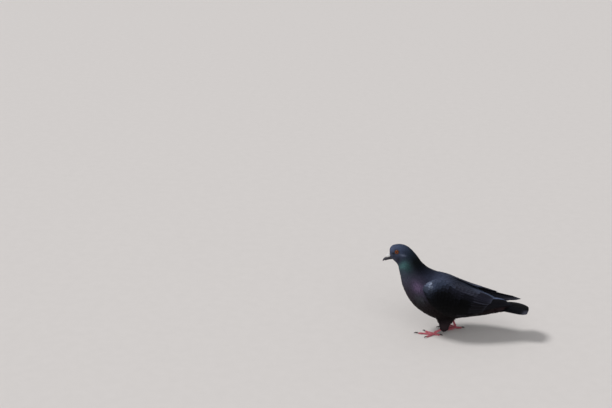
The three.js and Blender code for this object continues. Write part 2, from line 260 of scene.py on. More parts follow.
markings = {
    # washes along the spine, from the brow (0) to the tail base (11)
    "back": [(0, "#525a74"), (1.5, "#414a61"), (2.4, "#232c38"), (3.1, "#090e10"), (3.9, "#0c1018"),
             (4.7, "#222736"), (5.4, "#353b4e"), (6.3, "#343949"), (7.2, "#252834"), (8.2, "#2a303e"),
             (8.9, "#4a5268"), (9.6, "#586179"), (10.2, "#606b88"), (11, "#3d4455")],
    "under": [(0, "#4e5163"), (1.5, "#3c404f"), (2.3, "#373c4c"), (2.9, "#434f59"), (3.6, "#3f4753"),
              (4.3, "#403f4d"), (4.9, "#342f38"), (5.6, "#201a1d"), (6.4, "#151011"), (7.2, "#0a0607"),
              (8.2, "#0e0909"), (9.2, "#1b1413"), (10.2, "#251b1e"), (11, "#181316")],
    # along the spine: how far up the flank the back's colour begins, and how sharply
    "flankLine": ([5, 7.5, 10], [0, 0.45, 0.6], [0.7, 1.7, 3]),
    "thigh": "#2f2529", "thighFrom": (46, 14),      # the height where it starts, and over how many mm
    # painted light on the wing: its top grey painted lit and its lower black painted in shade
    "litWingTop": "#1b1b26", "shadedWingLow": "#020203", "litGreyShield": "#363e50", "wristHighlight": "#7a849e",
    # the rear edge colour is pale feather edging together with painted sheen
    # the wrist's two pale colours are painted highlights
    "wristHighlightStreak": "#a5b0c6", "fringe": "#1d1f28", "flankTip": "#6a6b74", "rearEdgeAndSheen": "#5d6070",
    "flight": "#0e0d12", "vaneBelow": "#464650",
    "tail": "#070709", "tailBand": "#020203", "tailTip": "#42434d",
}
patches = {     # middle along the spine and round the body, half width of each, share, colour, gloss
    "throatGreen": (2.8, -0.6, 0.42, 0.55, 0.7, "#598688", 0.6),
    "neckGreen": (3.2, -0.2, 0.45, 0.4, 0.4, "#1f4a45", 0.5),
    "breastSheen": (4.75, 0.0, 0.75, 0.6, 0.4, "#4c4358", 0.3),
    "breastViolet": (4.82, -0.08, 0.34, 0.28, 0.6, "#826d90", 0.6),
    "breastGrey": (5.45, -0.42, 0.3, 0.24, 0.5, "#464c51", 0.3),
    "chin": (1.5, -0.62, 0.35, 0.25, 0.7, "#1b1c25", 0.0),
    # painted highlight along the top of the shoulder, where the light falls
    "shoulder": (5.7, 0.8, 0.6, 0.16, 0.6, "#555d76", 0.2),
}
faceMarks = {   # mm behind and above the eye, the half width each way, share, colour
    "lore": (-9.3, -2.9, 4.0, 2.5, 0.9, "#151214"),
    "throat": (-8.0, -9.0, 5.0, 4.0, 0.45, "#1e1e27"),
    # painted sheen behind the eye: the temple's dark band is painted shade, the cheek's pale streak a
    # painted highlight
    "templeShade": (12.0, 2.5, 6.0, 2.5, 0.3, "#141a28"),
    "cheekHighlight": (9.5, -3.4, 5.0, 2.0, 0.55, "#7f88a0"),
}
wingPattern = {
    "shieldRear": ([0.2, 0.5, 0.6, 0.7, 0.8, 0.95], [-44, -38, -31, -15, -6, 3]),   # x at each v
    "shieldShare": ([0.1, 0.6, 0.9], [0.25, 0.7, 1.0]),
    "fade": 4.5,        # how softly the grey shield and the painted highlight on the wrist's rim end, mm
    "highlightStreaks": ((-47.5, 3.2, 0.95), (-36, 2.6, 0.57)),      # painted highlight streaks at the wrist: x, half width, share
    "streakHeight": (0.84, 0.17),       # v and its half width
    # the first share is the painted highlight's strength on the wrist's rim
    "wristHighlightShare": 0.85, "gloss": (0.1, 0.4, 0.3),       # of the whole wing, its shield and its wrist
}


def marked(colour, mark, share):
    return blend(colour, linear(markings[mark]), share)


def plain(mark, shape):
    return np.broadcast_to(linear(markings[mark]), shape)


def wash(stops, t):
    colours = np.array([linear(colour) for _, colour in stops])
    return np.stack([np.interp(t, [place for place, _ in stops], colours[:, k]) for k in range(3)], 1)


# The colour and gloss of the plumage at points on the body: one rule paints both skin and coat.
def bodyMarkings(points):
    t, _, dorsal = bodyPlace(points)
    at, edges, slopes = markings["flankLine"]
    upper = 0.5 + np.interp(t, at, slopes) * (dorsal - np.interp(t, at, edges))
    colour = blend(wash(markings["under"], t), wash(markings["back"], t), upper)
    gloss = 0.0
    for along, around, wide, high, share, patch, shine in patches.values():
        here = hill(t, along, wide) * hill(dorsal, around, high)
        colour = blend(colour, linear(patch), share * here)
        gloss = gloss + shine * here
    behind, above = points[:, 0] / mm - eyeAt[0], points[:, 2] / mm - eyeAt[2]
    for back, up, wide, high, share, mark in faceMarks.values():
        here = hill(behind, back, wide) * hill(above, up, high)
        colour = blend(colour, linear(mark), share * here)
    for leg in legs.values():
        _, _, share = thighPlace(points, leg)
        onLeg = np.clip(1.6 - share, 0, 1) * downLeg(points, *markings["thighFrom"])
        colour = marked(colour, "thigh", onLeg)
    return colour, np.clip(gloss, 0, 1)


# The folded wing's colour holds painted light: highlights at the wrist, a grey upper front painted lit from
# above, and painted shade making its dark lower part all but black.
def wingMarkings(points):
    x, v, _ = wingPlace(points)
    v = np.clip(v, 0, 1.1)
    # painted shade on the lower wing, blending up to the painted lit top
    colour = marked(plain("shadedWingLow", points.shape), "litWingTop", (v - 0.6) * 2.6)
    # the grey shield over the upper front, painted paler towards the top as lit from above
    past = (x - np.interp(v, *wingPattern["shieldRear"])) / wingPattern["fade"]
    litGreyShield = np.interp(v, *wingPattern["shieldShare"]) / (1 + np.exp(past))
    colour = marked(colour, "litGreyShield", litGreyShield)
    # painted highlight along the wrist's rim, fading back from its front
    rim = np.exp(-np.maximum(x - wristFront(v), 0) / wingPattern["fade"]) * np.clip((v - 0.15) * 1.3, 0, 1)
    colour = marked(colour, "wristHighlight", wingPattern["wristHighlightShare"] * rim)
    # two painted highlight streaks across the wrist
    highlightStreaks = sum(share * hill(x, place, width) for place, width, share in wingPattern["highlightStreaks"])
    highlightStreaks = highlightStreaks * hill(v, *wingPattern["streakHeight"])
    colour = marked(colour, "wristHighlightStreak", highlightStreaks)
    ofAll, ofShield, ofRim = wingPattern["gloss"]
    return colour, np.clip(ofAll + ofShield * litGreyShield + ofRim * rim, 0, 1) * (v > 0.3)


def wristFront(v):
    x, bend, middle = wing["wrist"]
    return x + bend * (v - middle) ** 2


skin = {
    "voxel": 1.5, "closeGap": 0.3, "rounds": 12, "lastRounds": 4,
    "lossReach": 2, "lossRange": (-0.5, 1.5), "lossRounds": 12,     # for what the smoothing takes
    "coatDepth": [0.35, 0.6, 1.0, 1.5, 2.1, 2.7, 3.0, 3.0, 3.0, 3.0, 2.6, 2.0],      # along the spine
    "legDepth": 1.2, "legTop": 38, "legShare": 1.3,     # a leg's coat, its top and how far out it counts
    "nodes": ["head", "neck", "trunk", "rump", "leg_left_thigh", "leg_right_thigh", "wing_left_coverts",
              "wing_right_coverts"],
}


def placesAndNormals(vertices):
    return np.array([v.co for v in vertices]), np.array([v.normal for v in vertices])


def moveTo(bm, places):
    for vertex, place in zip(bm.verts, places):
        vertex.co = place


def nodesMerged(names, swell=0.0):
    bm = bmesh.new()
    for name in names:
        bm.from_mesh(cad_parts[name].data)
    bmesh.ops.remove_doubles(bm, verts=bm.verts[:], dist=1e-6)
    bm.normal_update()
    for vertex in bm.verts:
        vertex.co += vertex.normal * swell * mm
    return bm


def addPiece(name, bm, material=None, smooth=True):
    mesh = bpy.data.meshes.new(name)
    bm.to_mesh(mesh)
    bm.free()
    if smooth:
        mesh.shade_smooth()
    if material:
        mesh.materials.append(material)
    piece = bpy.data.objects.new(name, mesh)
    scene.collection.objects.link(piece)
    return piece


def relax(bm, rounds):
    for _ in range(rounds):
        bmesh.ops.smooth_vert(bm, verts=bm.verts[:], factor=0.5, use_axis_x=True, use_axis_y=True,
                              use_axis_z=True)
    bm.normal_update()


def remeshed(bm, voxel, rounds):
    draft = addPiece("draft", bm)
    modifier = draft.modifiers.new("remesh", "REMESH")
    modifier.mode = "VOXEL"
    modifier.voxel_size = voxel * mm
    whole = bpy.data.meshes.new_from_object(draft.evaluated_get(bpy.context.evaluated_depsgraph_get()))
    shaped = bmesh.new()
    shaped.from_mesh(whole)
    bpy.data.objects.remove(draft)
    relax(shaped, rounds)
    return shaped


def onLegs(points):
    shares = [thighPlace(points, leg)[2] for leg in legs.values()]
    return (points[:, 2] < skin["legTop"] * mm) & (np.minimum(*shares) < skin["legShare"])


def alongSpine(points, values):
    return np.interp(bodyPlace(points)[0], range(len(values)), values)


def coatDepth(points):
    return np.where(onLegs(points), skin["legDepth"], alongSpine(points, skin["coatDepth"]))


solids = nodesMerged(skin["nodes"])
bmesh.ops.triangulate(solids, faces=solids.faces[:])
solidTree = BVHTree.FromBMesh(solids)
bm = remeshed(nodesMerged(skin["nodes"], skin["closeGap"]), skin["voxel"], skin["rounds"])
bmesh.ops.triangulate(bm, faces=bm.faces[:])
places, facing = placesAndNormals(bm.verts)
reach = skin["lossReach"]
lost = []       # how far the smoothing has drawn each point in below the solids
for place, normal in zip(places, facing):
    found = solidTree.ray_cast(Vector(place - normal * reach * mm), Vector(normal), 5 * mm)
    lost.append(0.0 if found[0] is None else np.clip(found[3] / mm - reach, *skin["lossRange"]))
links = np.array([[v.index for v in edge.verts] for edge in bm.edges])
lost = np.array(lost)
for _ in range(skin["lossRounds"]):
    around, count = np.zeros(len(lost)), np.zeros(len(lost))
    for here, there in ((0, 1), (1, 0)):
        np.add.at(around, links[:, here], lost[links[:, there]])
        np.add.at(count, links[:, here], 1)
    lost = (lost + around / count) / 2
moveTo(bm, places - facing * (coatDepth(places) - lost)[:, None] * mm)
relax(bm, skin["lastRounds"])
skinPiece = addPiece("skin", bm, plumageMaterial("feathered_skin", 0.0, 0.0))
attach(skinPiece, "root")
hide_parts(*skin["nodes"])


def surfaceOf(piece):
    corners = np.array([list(face.vertices) for face in piece.data.polygons])
    verts, normals = placesAndNormals(piece.data.vertices)
    return {"verts": verts, "tris": corners, "normals": normals,
            "tree": BVHTree.FromPolygons([Vector(v) for v in verts], corners.tolist())}


def nearestOn(surface, points):
    found = [surface["tree"].find_nearest(Vector(p)) for p in points]
    place = np.array([f[0] for f in found])
    corners = surface["tris"][[f[2] for f in found]]
    a, b, c = (surface["verts"][corners[:, k]] for k in range(3))
    full = np.maximum(np.linalg.norm(np.cross(b - a, c - a), axis=1), 1e-15)
    shareA = np.linalg.norm(np.cross(b - place, c - place), axis=1) / full
    shareB = np.linalg.norm(np.cross(c - place, a - place), axis=1) / full
    shares = np.stack([shareA, shareB, np.clip(1 - shareA - shareB, 0, 1)], 1)
    return place, unit((surface["normals"][corners] * shares[..., None]).sum(1))


def paintPoints(mesh, colour, gloss):
    layer = mesh.attributes.new("plumage", "FLOAT_COLOR", "POINT")
    layer.data.foreach_set("color", np.hstack([colour, gloss[:, None]]).astype(np.float32).ravel())


skinSurface = surfaceOf(skinPiece)
x, v, out = wingPlace(skinSurface["verts"])
onPad = (x > -46) & (x < 62) & (v > 0) & (v < 1) & (out > -5)
bodyColour, bodyGloss = bodyMarkings(skinSurface["verts"])
padColour, padGloss = wingMarkings(skinSurface["verts"])
# painted shade: the skin under the coat takes the markings a fifth darker, as shade between the vanes
paintPoints(skinPiece.data, np.where(onPad[:, None], padColour, bodyColour) * 0.8,
            np.where(onPad, padGloss, bodyGloss) * 0.5)
print("skin:", len(skinSurface["tris"]), "triangles")


# One closed vane, flat and thin: a grid, with its rim shared by the upper and the under side. Rows
# run from the root (a = 0) to the tip (a = 1), and b runs from side to side (-1 to 1).
def vaneShape(rows, columns, rootWidth, widest, tipWidth, tipRound, fray=0.0):
    bm = bmesh.new()
    bmesh.ops.create_grid(bm, x_segments=columns, y_segments=rows, size=0.5)
    for vertex in bm.verts:
        vertex.co.z = 0 if vertex.is_boundary else 1
    under = bmesh.ops.duplicate(bm, geom=bm.verts[:] + bm.edges[:] + bm.faces[:])["geom"]
    bmesh.ops.reverse_faces(bm, faces=[g for g in under if isinstance(g, bmesh.types.BMFace)])
    for vertex in (g for g in under if isinstance(g, bmesh.types.BMVert)):
        vertex.co.z *= -1
    bmesh.ops.remove_doubles(bm, verts=bm.verts[:], dist=1e-5)
    bm.verts.index_update()
    co = np.array([v.co for v in bm.verts])
    faces = np.array([[v.index for v in f.verts] for f in bm.faces])
    bm.free()
    a, b = 1 - (0.5 - co[:, 1]) ** 1.25, co[:, 0] * 2
    rise = np.clip(a / widest, 0, 1)
    width = rootWidth + (1 - rootWidth) * rise * rise * (3 - 2 * rise)
    width = width * np.sqrt(1 - (1 - tipWidth ** 2) * np.clip((a - widest) / (1 - widest), 0, 1) ** 2)
    column = np.round((b + 1) / 2 * columns)
    ragged = fray * np.where(column % 2 == 0, -0.5, 0.5) * a ** 5
    return {"a": a - tipRound * b * b * a ** 3 + ragged, "b": b * width, "side": co[:, 2], "faces": faces,
            "uv": np.stack([b / 2 + 0.5, a], 1), "down": a, "aside": np.abs(b)}


# Long feathers each keep a cell of their own on the map, with the under side beside the upper.
def cellMap(vane, corner, owner, count):
    cells = math.ceil(math.sqrt(count * 2))
    under = (vane["side"][corner.reshape(-1, 4)].sum(1) < 0).repeat(4)
    cell = owner * 2 + under
    origin = np.stack([cell % cells, cell // cells], 1)
    return (origin + 0.06 + 0.88 * vane["uv"][corner]) / cells


# Joins the placed vanes into one piece, with the vane map for the barbs and the map for baking.
def vanePiece(name, vane, places, colour, gloss, material, bakeAt=None, mirrored=False):
    count, perVane = places.shape[:2]
    loop = vane["faces"][:, ::-1] if mirrored else vane["faces"]
    faces = (loop[None] + (np.arange(count) * perVane)[:, None, None]).reshape(-1, 4)
    mesh = bpy.data.meshes.new(name)
    mesh.from_pydata(places.reshape(-1, 3), [], faces.tolist())
    corner, owner = faces.ravel() % perVane, faces.ravel() // perVane
    if bakeAt is None:
        bake = cellMap(vane, corner, owner, count)
    else:
        bake = bakeAt[owner] + (vane["uv"][corner] - 0.5) * coat["bakeSize"]
    for layer, values in (("OFBake", bake), ("vane", vane["uv"][corner])):
        mesh.uv_layers.new(name=layer).data.foreach_set("uv", values.astype(np.float32).ravel())
    paintPoints(mesh, colour.reshape(-1, 3), np.repeat(gloss, perVane))
    mesh.shade_smooth()
    ends = np.zeros(len(mesh.edges) * 2, int)
    mesh.edges.foreach_get("vertices", ends)
    rim = (vane["side"][ends.reshape(-1, 2) % perVane] == 0).all(1)
    sharp = mesh.attributes.get("sharp_edge") or mesh.attributes.new("sharp_edge", "BOOLEAN", "EDGE")
    sharp.data.foreach_set("value", rim)
    mesh.materials.append(material)
    piece = bpy.data.objects.new(name, mesh)
    scene.collection.objects.link(piece)
    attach(piece, "root")
    return piece


# Lays a vane at each root over the skin: it bends with the skin and rises from its root to its tip.
# Past the end of a limb (slack) it hangs free instead.
def layOnSkin(vane, roots, ahead, length, halfWidth, low, high, thickness, camber, slack):
    _, normal = nearestOn(skinSurface, roots)
    flat = unit(ahead - normal * (ahead * normal).sum(1, keepdims=True))
    ahead = np.where((slack < coat["slack"]["body"])[:, None], ahead, flat)
    across = unit(np.cross(ahead, normal))
    pairs = np.round(np.stack([vane["a"], vane["b"]], 1), 5)
    spots, spotOf = np.unique(pairs, axis=0, return_inverse=True)
    spotOf = spotOf.ravel()
    a, b = spots[:, 0], spots[:, 1]
    reach = roots[:, None] + normal[:, None] * 0.3 * mm
    reach = reach + ahead[:, None] * (length[:, None] * a)[..., None] * mm
    reach = reach + across[:, None] * (halfWidth[:, None] * b)[..., None] * mm
    place, facing = (part.reshape(reach.shape) for part in nearestOn(skinSurface, reach.reshape(-1, 3)))
    free = np.clip(np.linalg.norm(reach - place, axis=2) / mm / slack[:, None] - 1, 0, 1)
    place = blend(place, reach, free)
    facing = unit(blend(facing, np.broadcast_to(normal[:, None], facing.shape), free))
    climb = 1 - (1 - np.clip(a, 0, 1)) ** coat["climb"]
    rise = low[:, None] + (high - low)[:, None] * climb - camber * halfWidth[:, None] * b ** 2
    height = rise[:, spotOf] + thickness * vane["side"][None] / 2
    return place[:, spotOf] + facing[:, spotOf] * height[..., None] * mm


coat = {
    # along the spine, from brow to tail base
    "length": [3.0, 3.8, 5.0, 7.2, 9.4, 12, 14, 16, 17, 18, 22, 24],
    "halfWidth": [0.6, 0.7, 0.95, 1.4, 1.85, 2.5, 3.1, 3.4, 3.6, 3.7, 3.5, 3.0],
    "spacing": [0.62, 0.68, 0.84, 1.2, 1.65, 2.3, 2.9, 3.15, 3.3, 3.3, 3.1, 2.6],
    "leg": {"length": 7.0, "halfWidth": 1.4, "spacing": 1.2},
    "legSizeFrom": (58, 22), "legLieFrom": (46, 12),    # height, and over how many mm
    "neckFrom": 2.9, "breastFrom": 5, "tailFrom": 9.3,  # along the spine
    "vary": {"size": 0.07, "turn": 0.06, "tone": 0.07, "depth": 0.012},
    "eyeClear": 4.8, "bakeSize": 0.003,
    "climb": 1.12,      # 1 rises evenly from root to tip, and more rises soonest near the root
    "slack": {"leg": 1.0, "tail": 1.6, "body": 50},     # how far off the skin a vane may reach, mm
    "tries": 7,         # points thrown for each one that may stand
    "underWing": (1, 88, 0.03, 0.97, 8),    # behind the wrist, before x, v from and to, beyond y
    "underBill": (-117.5, 156, 168, 4.2),   # before x, height from and to, within y
}
regions = {     # slot, vane, barbs along a vane, quill, thickness
    "coat_head": ("head_feathers", vaneShape(3, 3, 0.35, 0.45, 0.25, 0.22, 0.05), 9, 0.0, 0.07),
    "coat_neck": ("neck_feathers", vaneShape(4, 4, 0.35, 0.5, 0.3, 0.2, 0.03), 26, 0.0, 0.09),
    "coat_breast": ("body_feathers", vaneShape(4, 5, 0.35, 0.6, 0.34, 0.2, 0.012), 34, 0.1, 0.12),
    "coat_back": ("body_feathers", vaneShape(4, 5, 0.35, 0.6, 0.34, 0.2, 0.012), 34, 0.2, 0.12),
    "coat_legs": ("leg_feathers", vaneShape(3, 4, 0.4, 0.5, 0.3, 0.22, 0.04), 12, 0.0, 0.1),
}


def coatSize(points, key):
    along = alongSpine(points, coat[key])
    near = np.minimum(*(thighPlace(points, leg)[2] for leg in legs.values())) < skin["legShare"]
    return along + (coat["leg"][key] - along) * near * downLeg(points, *coat["legSizeFrom"])


# Throws many points on the skin and keeps those that stand clear of the ones before them.
def scatter(surface, wanted):
    a, b, c = (surface["verts"][surface["tris"][:, k]] for k in range(3))
    area = np.linalg.norm(np.cross(b - a, c - a), axis=1) / 2
    centres = (a + b + c) / 3
    weight = area / (coatSize(centres, "spacing") * mm) ** 2 * wanted(centres)
    total = int(weight.sum() * coat["tries"])
    pick = np.searchsorted(np.cumsum(weight) / weight.sum(), draw.random(total))
    pick = np.minimum(pick, len(weight) - 1)
    u, w = np.sqrt(draw.random(total))[:, None], draw.random(total)[:, None]
    points = a[pick] * (1 - u) + b[pick] * u * (1 - w) + c[pick] * u * w
    clear = coatSize(points, "spacing") * mm
    tree = KDTree(total)
    for i, point in enumerate(points):
        tree.insert(Vector(point), i)
    tree.balance()
    kept = np.ones(total, bool)
    for i in range(total):
        if kept[i]:
            for _, j, _ in tree.find_range(Vector(points[i]), clear[i]):
                kept[j] = kept[j] and j <= i
    return points[kept]


def nearEye(points, clear):
    fromEye = np.stack([points[:, 0], np.abs(points[:, 1]), points[:, 2]], 1) - eyeAt * mm
    along = fromEye @ eyeAxis
    return (np.linalg.norm(fromEye - along[:, None] * eyeAxis, axis=1) < clear * mm) & (along > 0)


# The coat grows everywhere but well under a folded wing, on the eyes and under the bill.
def coatGrows(points):
    x, v, _ = wingPlace(points)
    along, aside, height = points[:, 0] / mm + bird["middle"], np.abs(points[:, 1]) / mm, points[:, 2] / mm
    front, rear, low, high, off = coat["underWing"]
    underWing = (x > wristFront(v) + front) & (x < rear) & (v > low) & (v < high) & (aside > off)
    front, low, high, off = coat["underBill"]
    underBill = (along < front) & (height > low) & (height < high) & (aside < off)
    return ~underWing & ~underBill & ~nearEye(points, coat["eyeClear"] - 0.5)


def lieOfCoat(points):
    ahead = bodyPlace(points)[1]
    for leg in legs.values():
        _, down, share = thighPlace(points, leg)
        onLeg = np.clip(2.2 - share * 1.2, 0, 1) * downLeg(points, *coat["legLieFrom"])
        ahead = unit(blend(ahead, down, onLeg))
    return ahead


# The skin's own shape laid flat: along the spine by round the body, with the legs in a strip below.
def bakePlace(points):
    t, _, dorsal = bodyPlace(points)
    flank = np.arccos(np.clip(dorsal, -1, 1)) / math.tau
    u, v = 0.02 + 0.96 * t / 11, 0.56 + 0.84 * np.where(points[:, 1] < 0, -flank, flank)
    for i, leg in enumerate(legs.values()):
        along, _, _ = thighPlace(points, leg)
        centre = (follow(leg["thigh"], along) - toFrame) * mm
        around = np.arctan2(points[:, 1] - centre[:, 1], points[:, 0] - centre[:, 0]) / math.tau + 0.5
        mine = onLegs(points) & (points[:, 1] * leg["side"] > 0)
        u = np.where(mine, 0.02 + 0.46 * around + 0.5 * i, u)
        v = np.where(mine, 0.01 + 0.1 * along / 4, v)
    return np.stack([u, v], 1)


roots = scatter(skinSurface, coatGrows)
_, facing = nearestOn(skinSurface, roots)
vary = 1 + draw.normal(0, coat["vary"]["size"], len(roots))
turn = draw.normal(0, coat["vary"]["turn"], len(roots))[:, None]
tone = 1 + draw.normal(0, coat["vary"]["tone"], len(roots))
length, halfWidth = coatSize(roots, "length") * vary, coatSize(roots, "halfWidth") * vary
x, v, out = wingPlace(roots)
beside = (v > 0.02) & (v < 0.98) & (out > -9) & (x < wristFront(v) + 4)
length = np.where(beside, np.minimum(length, np.maximum(wristFront(v) + 8 - x, 5)), length)
t, _, dorsal = bodyPlace(roots)
leg = onLegs(roots)
slack = np.where(t > coat["tailFrom"], coat["slack"]["tail"], coat["slack"]["body"])
slack = np.where(leg, coat["slack"]["leg"], slack)
hangs = slack < coat["slack"]["body"]
lie = lieOfCoat(roots)
ahead = unit(lie - facing * (lie * facing).sum(1, keepdims=True))
ahead = unit(blend(ahead, lie, np.clip((facing * lie).sum(1) * 4 - 1.2, 0, 0.6) * hangs))
ahead = ahead * np.cos(turn) + np.cross(facing, ahead) * np.sin(turn)
tips = roots + ahead * length[:, None] * mm
clear = ~nearEye(tips, coat["eyeClear"]) & ~nearEye(0.6 * tips + 0.4 * roots, coat["eyeClear"])
clear &= ~((t > 10) & ((facing * lie).sum(1) > 0.6))      # none on the blunt end inside the tail
depth = coatDepth(roots) * (1 + draw.normal(0, coat["vary"]["depth"], len(roots)))
colour, gloss = bodyMarkings(roots)
onPad = (x > wristFront(v) + 3) & (v > 0.05) & (v < 0.95) & (out > -6) & (x < 60)
padColour, padGloss = wingMarkings(roots)
colour, gloss = np.where(onPad[:, None], padColour, colour), np.where(onPad, padGloss, gloss)
onNeck, onBody = t >= coat["neckFrom"], t >= coat["breastFrom"]
within = {"coat_head": ~onNeck, "coat_neck": onNeck & ~onBody, "coat_breast": onBody & (dorsal < 0),
          "coat_back": onBody & (dorsal >= 0)}
materials = {}
for name, (slot, vane, barbs, quill, thickness) in regions.items():
    mine = clear & (leg if name == "coat_legs" else within[name] & ~leg)
    laid = layOnSkin(vane, roots[mine], ahead[mine], length[mine], halfWidth[mine], 0.1 * depth[mine],
                     depth[mine], thickness, 0.03, slack[mine])
    if slot not in materials:
        materials[slot] = plumageMaterial(slot + "_soft", barbs, quill)
    # painted shade: each vane darker towards its root, where the vanes over it shade it
    fade = 0.84 + 0.2 * vane["down"]
    painted = (colour * tone[:, None])[mine][:, None] * fade[None, :, None]
    piece = vanePiece(name, vane, laid, painted, gloss[mine], materials[slot], bakePlace(roots[mine]))
    print(name, mine.sum(), "vanes,", len(piece.data.polygons) * 2, "triangles")


wingCoat = {
    "lesser": {"from": 1, "to": 42, "step": 3.5, "growth": 1.1, "length": 2.5, "halfWidth": 0.86},
    "median": {"rows": 2, "step": 8.0, "length": 21, "halfWidth": 6.0},
    "greater": {"length": 39, "halfWidth": 6.8},
    "thickness": 0.3, "tilt": 0.12, "farLift": 0.7,     # the far wing lies a little fuller
    "vary": {"place": 0.4, "length": 0.04, "height": 0.008, "tone": 0.16},
    # v at the roots, how far v runs on to the tips, then x of the first and the last root of each line
    "shoulder": ((1.12, -0.06, -34, 34), (1.05, -0.06, -37, 34), (0.97, -0.05, -39, 28)),
    "flank": ((-0.1, 0.1, -8, 52), (-0.03, 0.1, -12, 40)),
}
flightLook = {"thickness": 0.4, "tilt": 0.32, "vary": 0.08, "gloss": 0.2, "primaries": 10}


def covertsRear(v):
    return 44 + 18 * v - 10 * (v - 0.5) ** 2


def secondariesRear(v):
    return 75 + 31 * v * v


# Lays long feathers on a folded wing, each from (x, v) at its root to (x, v) at its tip. The tilt
# lifts each one's lower edge over the feather below it, as roof tiles lie.
def layOnWing(vane, feathers, side, thickness, tilt):
    start, end, half, low, high = (np.array(part, float) for part in zip(*feathers))
    low, high = (height + wingCoat["farLift"] * (side > 0) for height in (low, high))
    a, b = vane["a"], vane["b"]
    x = start[:, :1] + (end - start)[:, :1] * a
    v = start[:, 1:] + (end - start)[:, 1:] * a + b * half[:, None] / np.interp(x, wingX, wingBand)
    rise = low[:, None] + (high - low)[:, None] * np.clip(a, 0, 1) ** 0.7
    rise = rise - tilt * b - 0.05 * half[:, None] * b ** 2 + thickness * vane["side"] / 2
    return onWing(x, np.clip(v, -0.3, 1.35), rise, side)


def covertRows():
    spec = wingCoat["lesser"]
    rows, offset, step = [], spec["from"], spec["step"]
    while offset < spec["to"]:
        rows.append((offset, spec["length"] * step + 2, spec["halfWidth"] * step, 1.15 * step))
        offset, step = offset + step, step * spec["growth"]
    spec = wingCoat["median"]
    for _ in range(spec["rows"]):
        rows.append((offset, spec["length"], spec["halfWidth"], 8.0))
        offset += spec["step"]
    rows.append((offset, wingCoat["greater"]["length"], wingCoat["greater"]["halfWidth"], 8.2))
    return rows


def covertFeathers():
    feathers = []
    rows = covertRows()
    vary, middle = wingCoat["vary"], wing["wrist"][2]
    for i, (offset, length, half, pitch) in enumerate(rows):
        share = i / (len(rows) - 1)
        count = int(round(np.interp(wristFront(middle) + offset + 5, wingX, wingBand) / pitch)) + 1
        for j in range(count):
            v = (j + (i % 2) / 2) / (count - 0.5)
            front, rear = wristFront(v), wristFront(middle) + covertsRear(v) - covertsRear(middle)
            x = offset + front * (1 - share) + rear * share + draw.normal(0, vary["place"])
            tip = (x + length * (1 + draw.normal(0, vary["length"])), v + draw.normal(0, vary["height"]))
            feathers.append(((x, v), tip, half, -2.0 if i > 1 else -0.7, 0.05 + 0.08 * (j % 2)))
    return feathers


# Feathers of the shoulder hang over the wing's upper edge, and those of the flank over its lower.
def edgeFeathers():
    feathers = []
    for line, (v, run, first, last) in enumerate(wingCoat["shoulder"]):
        for x in np.arange(first, last, 5.5):
            grow = (x - first) / (last - first)
            tip = (x + 12 + 26 * grow, v + run)
            feathers.append(((x, v), tip, 3.4 + 3.6 * grow, -1.8, 0.15 + 0.16 * line))
    for line, (v, run, first, last) in enumerate(wingCoat["flank"]):
        for x in np.arange(first, last, 5.0):
            feathers.append(((x, v), (x + 19, v + run), 4.6, -2.4, 0.15 + 0.12 * line))
    return feathers


# From the wing tip inwards: the outer primaries lie lowest, and the innermost feathers over them all.
def flightFeathers():
    feathers = []
    for k in range(3):
        root, tip = (20 + 12 * k, 0.02 + 0.05 * k), (128 + 6 * k, 0.14 + 0.08 * k)
        feathers.append((root, tip, 4.6, -3.0, -2.2 + 0.15 * k))
    for k in range(7):
        tip = (141.5 - 15 * (k / 6) ** 1.3, 0.3 + 0.1 * k)
        feathers.append(((50, 0.3 + 0.05 * k), tip, 5.4 + 0.4 * k, -2.6, -1.75 + 0.2 * k))
    for k in range(10):
        v = 0.04 + 0.072 * k
        tip = (secondariesRear(v) + 1.5, v)
        feathers.append(((30, v + 0.03), tip, 6.0, -2.0, -1.1 + 0.1 * (k % 2) + 0.05 * k))
    for k in range(4):
        v = 0.72 + 0.085 * k
        tip = (secondariesRear(v) + 1.5 - 3 * k, v)
        feathers.append(((26 - 5 * k, v + 0.05), tip, 7.8, -1.2, -0.25 + 0.16 * k))
    return feathers


